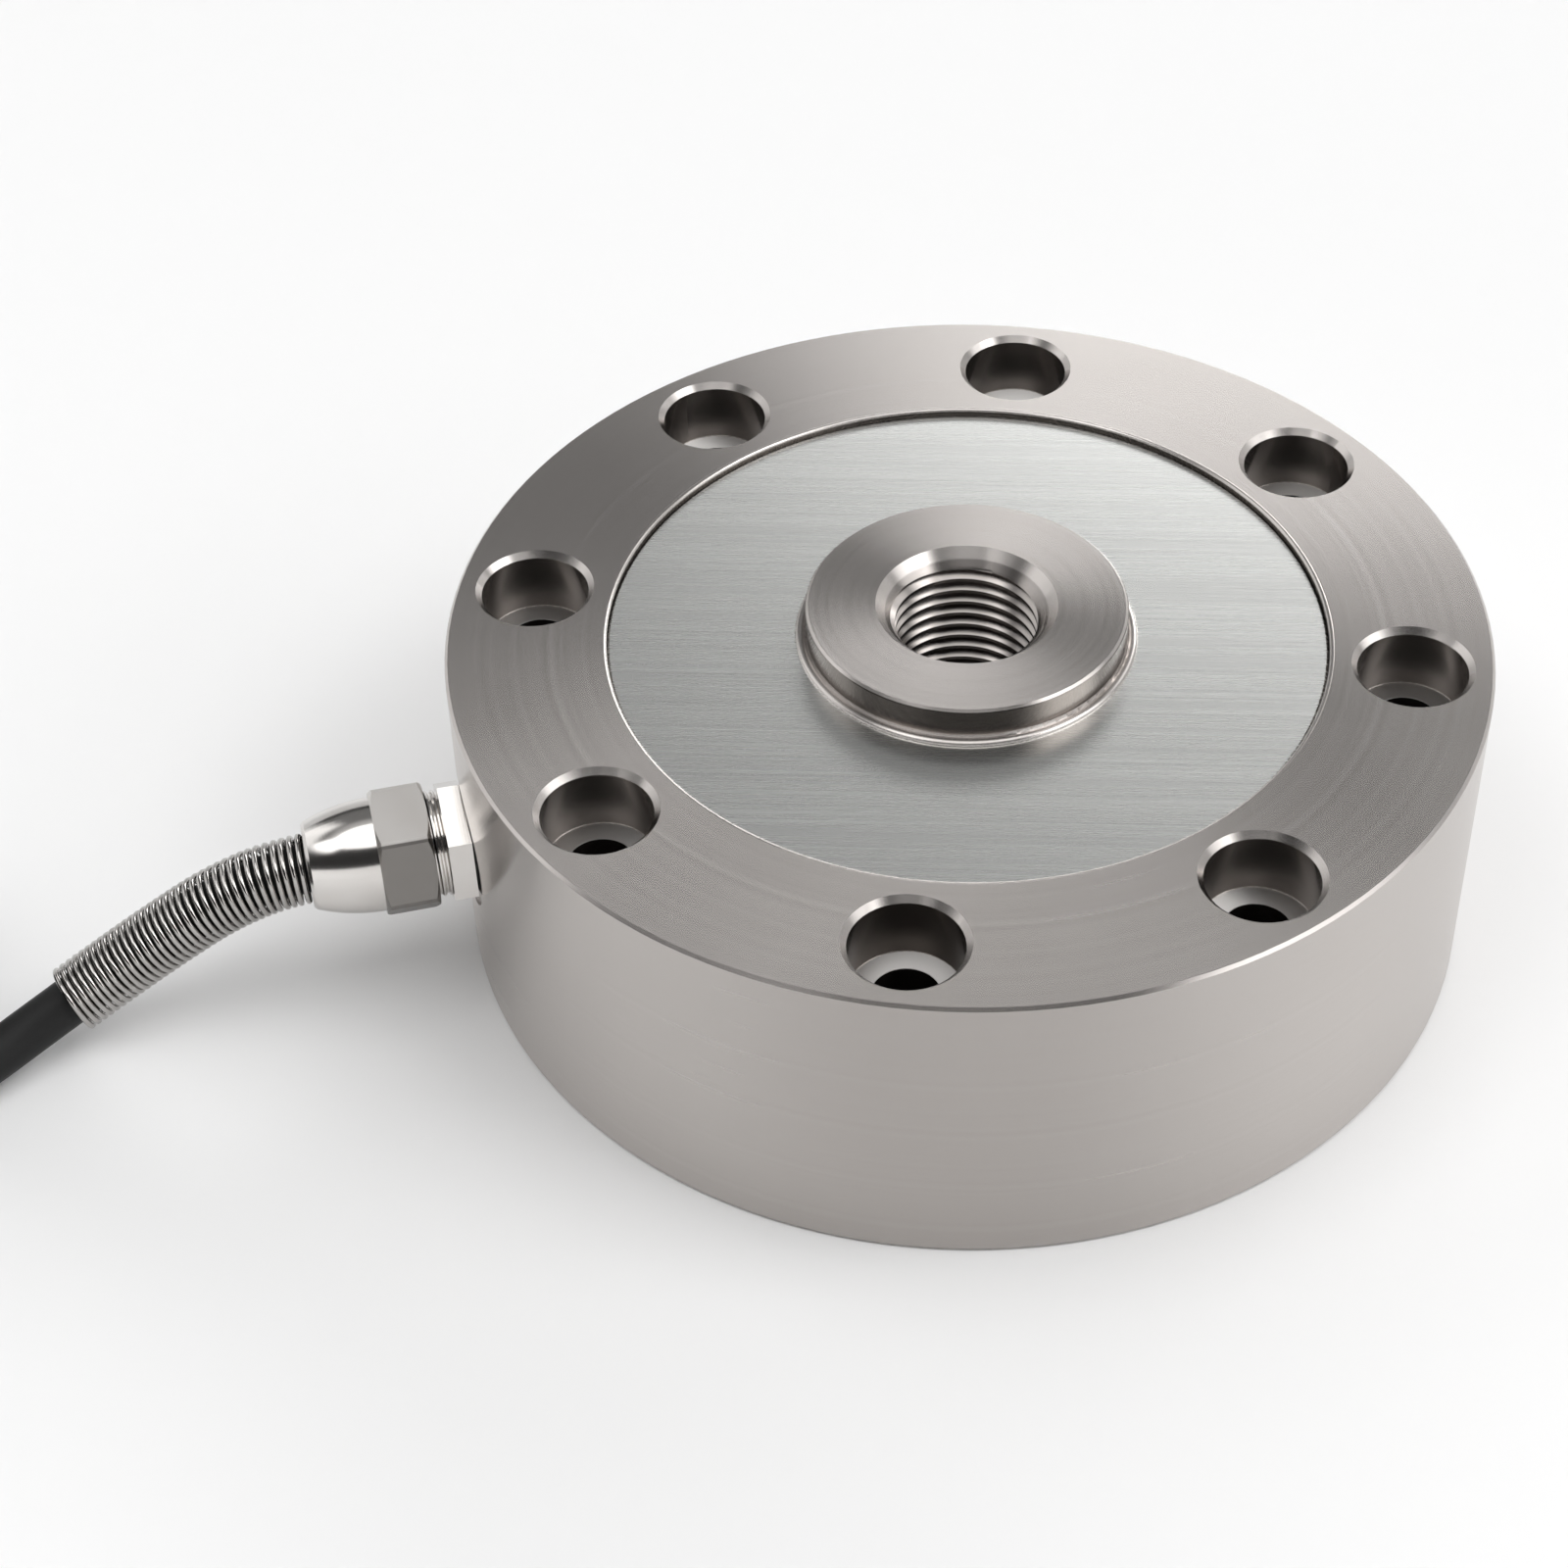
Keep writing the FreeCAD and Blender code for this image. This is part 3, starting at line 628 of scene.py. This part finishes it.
# Cover sheet brushed in one straight direction: noise over lengths that are scaled far less along the brushing than
# across it, once for hairlines and once for streaks
def coverSteel(plan):
    material, place = newFinish("cover_steel")
    x, y, z = place.axes()
    bearing = math.radians(plan["bearing"])
    along = x * math.cos(bearing) + y * math.sin(bearing)
    across = x * math.sin(bearing) - y * math.cos(bearing)
    lines = []
    for scale, detail in ((plan["hair"], 2), (plan["streak"], 3)):
        scaled = {0: along * scale[0], 1: across * scale[1], 2: z * scale[2]}
        lines.append(place.node("ShaderNodeCombineXYZ", {}, scaled).noise(1.0, detail))
    hair, streak = lines
    tone = (hair * 0.4 + streak * 0.6).between(plan["dark"], plan["light"])
    rough = plan["rough"] + hair * 0.05 + streak * 0.05
    coat(place, {"Base Color": tone, "Metallic": 1.0, "Roughness": rough}, hair + streak * 0.4, plan["depth"])
    return material


glandPlan = {
    "dark": (0.64, 0.61, 0.58, 1),
    "light": (0.72, 0.70, 0.68, 1),
    # dark colour: all the nut's flats a little darker, and painted shade on its lower flats
    "darkTone": (0.15, 0.14, 0.13, 1),
    "corner": 48.8,                 # degrees up from the level to the nut's corner; the flats below it get painted shade
    "flatDarken": 0.1,
    "lowerShade": 0.75,
    "softEdge": 0.05 * mm,
    "turningScale": 7000,
    "cloudScale": 180,
    "rough": 0.10,
    "depth": 2e-6,
}


# Bright nickel of the gland, turned about the gland's own axis: fine lines of noise along X; the nut's flats lie
# between two stations on X, and the flats with painted shade below a plane through the axis and one corner
def brightNickel(plan):
    material, place = newFinish("bright_nickel")
    x, y, z = place.axes()
    soft = plan["softEdge"]
    lines = x.noise(plan["turningScale"], 2, line=True)
    cloud = place.noise(plan["cloudScale"], 2)
    flats = x.rise(nutFace - soft, nutFace + soft) * (1 - x.rise(nutHigh.x, nutHigh.x + 2 * soft))
    corner = math.radians(plan["corner"])
    lower = 1 - (y * math.sin(corner) + (z - glandHeight) * math.cos(corner)).rise(-soft, soft)
    tone = cloud.between(plan["dark"], plan["light"])
    # all flats a little darker, and the lower flats darker still as painted shade
    tone = (flats * plan["flatDarken"] + flats * lower * plan["lowerShade"]).between(tone, plan["darkTone"])
    rough = plan["rough"] + cloud * 0.05 + lines * 0.04 + flats * 0.22
    coat(place, {"Base Color": tone, "Metallic": 1.0, "Roughness": rough}, lines, plan["depth"])
    return material


wirePlans = {
    "spring_steel": {
        "dark": (0.36, 0.345, 0.33, 1),
        "light": (0.50, 0.485, 0.47, 1),
        "scale": 700,
        "detail": 3,
        "rough": 0.10,
        "spread": 0.08,
        "depth": 2e-6,
    },
    "lead_wire": {
        "dark": (0.50, 0.20, 0.09, 1),
        "light": (0.68, 0.33, 0.17, 1),
        "scale": 900,
        "detail": 2,
        "rough": 0.25,
        "spread": 0.15,
        "depth": 4e-6,
    },
    "tinned_copper": {
        "dark": (0.52, 0.50, 0.47, 1),
        "light": (0.72, 0.70, 0.67, 1),
        "scale": 3000,
        "detail": 2,
        "rough": 0.28,
        "spread": 0.12,
        "depth": 2e-5,
    },
}


# Drawn wire: clouds of noise move the tone between two colours and add to the least roughness
def drawnWire(name, plan):
    material, place = newFinish(name)
    cloud = place.noise(plan["scale"], plan["detail"])
    tone = cloud.between(plan["dark"], plan["light"])
    rough = plan["rough"] + cloud * plan["spread"]
    coat(place, {"Base Color": tone, "Metallic": 1.0, "Roughness": rough}, cloud, plan["depth"])
    return material


mouldedPlans = {
    "cable_jacket": {"dark": grey(0.008), "light": grey(0.015), "rough": 0.55, "shine": 0.25},
    "seal_rubber": {"dark": grey(0.010), "light": grey(0.020), "rough": 0.65},
    "sealant": {"dark": grey(0.20), "light": grey(0.28), "rough": 0.55, "grainScale": 1200},
    "core_red": {"dark": (0.36, 0.010, 0.012, 1), "light": (0.50, 0.022, 0.022, 1), "rough": 0.42},
    "core_black": {"dark": grey(0.010), "light": grey(0.022), "rough": 0.42},
    "core_green": {"dark": (0.010, 0.16, 0.035, 1), "light": (0.025, 0.26, 0.06, 1), "rough": 0.42},
    "core_white": {"dark": grey(0.66), "light": grey(0.78), "rough": 0.42},
    "tie_nylon": {"dark": grey(0.014), "light": grey(0.03), "rough": 0.4},
}


# Extruded plastic or rubber: a fine grain, and soft patches in its tone and gloss
def mouldedFinish(name, dark, light, rough, grainScale=3500, depth=1.2e-5, shine=0.5):
    material, place = newFinish(name)
    cloud = place.noise(160, 3)
    grain = place.noise(grainScale, 2)
    tone = (cloud * 0.7 + grain * 0.3).between(dark, light)
    sockets = {"Base Color": tone, "Roughness": rough - 0.08 + cloud * 0.16, "Specular IOR Level": shine}
    coat(place, sockets, grain, depth)
    return material


# Gauge film: amber sheet with fine foil lines, where noise over radius plus height passes its middle
def gaugeFilm():
    material, place = newFinish("gauge_film")
    x, y, z = place.axes()
    lines = ((x * x + y * y) ** 0.5 + z).noise(5000, 0, line=True).rise(0.45, 0.55)
    tone = lines.between((0.42, 0.17, 0.03, 1), (0.60, 0.36, 0.16, 1))
    coat(place, {"Base Color": tone, "Roughness": 0.5 - lines * 0.2, "Metallic": lines * 0.6}, lines, 5e-6)
    return material


# Board: green mask over copper rings, where noise over the radius passes its middle, with a glass weave
def boardFinish():
    material, place = newFinish("board")
    x, y, _ = place.axes()
    tracks = ((x * x + y * y) ** 0.5).noise(700, 0, line=True).rise(0.48, 0.52)
    weave = place.noise(1500, 1)
    tone = (tracks * 0.7 + weave * 0.3).between((0.012, 0.10, 0.04, 1), (0.03, 0.22, 0.09, 1))
    coat(place, {"Base Color": tone, "Roughness": 0.32 + weave * 0.12}, tracks + weave * 0.2, 2e-5)
    return material


# Resistor: a black glaze whose fine grain moves its tone and roughness
def resistorGlaze():
    material, place = newFinish("resistor")
    grain = place.noise(4000, 2)
    coat(place, {"Base Color": grain.between(grey(0.012), grey(0.04)), "Roughness": 0.3 + grain * 0.1}, grain, 4e-6)
    return material


finishes = {
    "nickel_steel": nickelSteel(platingPlan),
    "cover_steel": coverSteel(brushPlan),
    "bright_nickel": brightNickel(glandPlan),
    "gauge_film": gaugeFilm(),
    "board": boardFinish(),
    "resistor": resistorGlaze(),
}
for name, plan in wirePlans.items():
    finishes[name] = drawnWire(name, plan)
for name, plan in mouldedPlans.items():
    finishes[name] = mouldedFinish(name, **plan)


# One finish on a whole piece
def wear(piece, slot):
    piece.data.materials.clear()
    piece.data.materials.append(finishes[slot])


for subpart in frame["record"]["subparts"]:
    wear(nodes[subpart["node"]], subpart["material_slot"])
wear(cable, "cable_jacket")
wear(spring, "spring_steel")
wear(hubScrew, "nickel_steel")
wear(glandScrew, "bright_nickel")
for edge in edges:
    wear(edge, "nickel_steel")
print("finishes laid:", len(finishes))


# Floor: a wide pale disc, flat under the object
floorPlan = {
    "middle": 0.01,
    "flat": 0.9,
    "edge": 2.6,
    "rise": 0.35,
    "rings": 40,
    "columns": 96,
    "crowding": 1.5,        # power that draws the rings towards the middle
    "below": 0.05 * mm,
    "dark": grey(0.86),
    "light": grey(0.90),
}


# Disc: the rings' radius grows as a power of the ring's number, and past the flat the height is the square of the
# distance times the rise
def floorDisc(plan):
    share = np.linspace(0, 1, plan["rings"]) ** plan["crowding"]
    reach = plan["middle"] + share * (plan["edge"] - plan["middle"])
    turn = np.linspace(2 * math.pi, 0, plan["columns"], endpoint=False)
    radius, angle = np.meshgrid(reach, turn, indexing="ij")
    height = plan["rise"] * np.clip(radius - plan["flat"], 0, None) ** 2 - plan["below"]
    middleRing = list(range(plan["columns"]))
    faces = gridFaces(plan["rings"], plan["columns"], closeColumns=True) + [middleRing[::-1]]
    return roundHub(radius, angle, height), faces


# Matt floor: wide clouds of noise move its tone between two greys
def paleFloor(plan):
    material, place = newFinish("pale_floor")
    cloud = place.noise(3, 2)
    coat(place, {"Base Color": cloud.between(plan["dark"], plan["light"]), "Roughness": 0.7})
    return material


floorPoints, floorFaces = floorDisc(floorPlan)
floor = newPiece("floor", floorPoints, floorFaces, body=None)
floor.data.materials.append(paleFloor(floorPlan))
print("floor laid")


# Studio: one round lamp overhead, and bright walls far off. A wall's bearing is from the camera to the picture's
# right, its half width and its lowest and highest elevation are in degrees, and each has its own radiance
overhead = {"bearing": 0, "elevation": 82, "distance": 1.6, "across": 1.44, "radiance": 1.8}
walls = {
    "right": {"bearing": 83, "half": 23, "low": 40, "high": 62, "radiance": 6.0},
    "rightLow": {"bearing": 73, "half": 29, "low": 20, "high": 36, "radiance": 2.7},
    "backRight": {"bearing": 130, "half": 15, "low": 24, "high": 46, "radiance": 2.0},
    "backLow": {"bearing": 162, "half": 21, "low": 10, "high": 30, "radiance": 8.6},
    "back": {"bearing": 180, "half": 60, "low": 30, "high": 62, "radiance": 0.20},
    "backHigh": {"bearing": 190, "half": 85, "low": 62, "high": 80, "radiance": 0.6},
    "left": {"bearing": 248, "half": 25, "low": 15, "high": 56, "radiance": 1.5},
    "topLeft": {"bearing": 300, "half": 25, "low": 53, "high": 68, "radiance": 3.0},
}
room = {"fill": 0.04, "softBearing": 8, "softElevation": 5}


# Disc lamp on a sphere round the object, facing its middle; its power is radiance times area times pi
def overheadLamp(plan):
    bearing = math.radians(cameraPlan["bearing"] + plan["bearing"])
    elevation = math.radians(plan["elevation"])
    level = Vector((math.cos(bearing), math.sin(bearing), 0)) * math.cos(elevation)
    direction = level + Vector((0, 0, math.sin(elevation)))
    data = bpy.data.lights.new("overhead", "AREA")
    data.shape = "DISK"
    data.size = plan["across"]
    data.energy = plan["radiance"] * math.pi * plan["across"] ** 2 / 4 * math.pi
    lamp = bpy.data.objects.new("overhead", data)
    lamp.location = direction * plan["distance"]
    lamp.rotation_euler = direction.to_track_quat("Z", "Y").to_euler()
    bpy.context.scene.collection.objects.link(lamp)


# Walls: the cosine between a level direction and the wall's bearing, and the sine of the direction's elevation, each
# pass soft edges; the walls add up over the room's own dim light
def roomLight(plan):
    world = bpy.data.worlds.new("room")
    world.use_nodes = True
    world.node_tree.nodes.clear()
    shade = Shade(world.node_tree)
    x, y, z = shade.node("ShaderNodeTexCoord", out="Generated").axes()
    level = (x * x + y * y + 1e-6) ** 0.5
    total = plan["fill"]
    for wall in walls.values():
        bearing = math.radians(cameraPlan["bearing"] + wall["bearing"])
        aligned = (x * math.cos(bearing) + y * math.sin(bearing)) / level
        edge = [math.cos(math.radians(wall["half"] + side * plan["softBearing"])) for side in (1, -1)]
        low = [math.sin(math.radians(wall["low"] + side * plan["softElevation"])) for side in (-1, 1)]
        high = [math.sin(math.radians(wall["high"] + side * plan["softElevation"])) for side in (-1, 1)]
        total = total + aligned.rise(*edge) * z.rise(*low) * (1 - z.rise(*high)) * wall["radiance"]
    background = shade.node("ShaderNodeBackground", {}, {"Strength": total})
    shade.node("ShaderNodeOutputWorld", {}, {"Surface": background})
    bpy.context.scene.world = world


overheadLamp(overhead)
roomLight(room)
bpy.context.scene.view_settings.view_transform = "Standard"
print("studio lit:", len(walls), "walls")
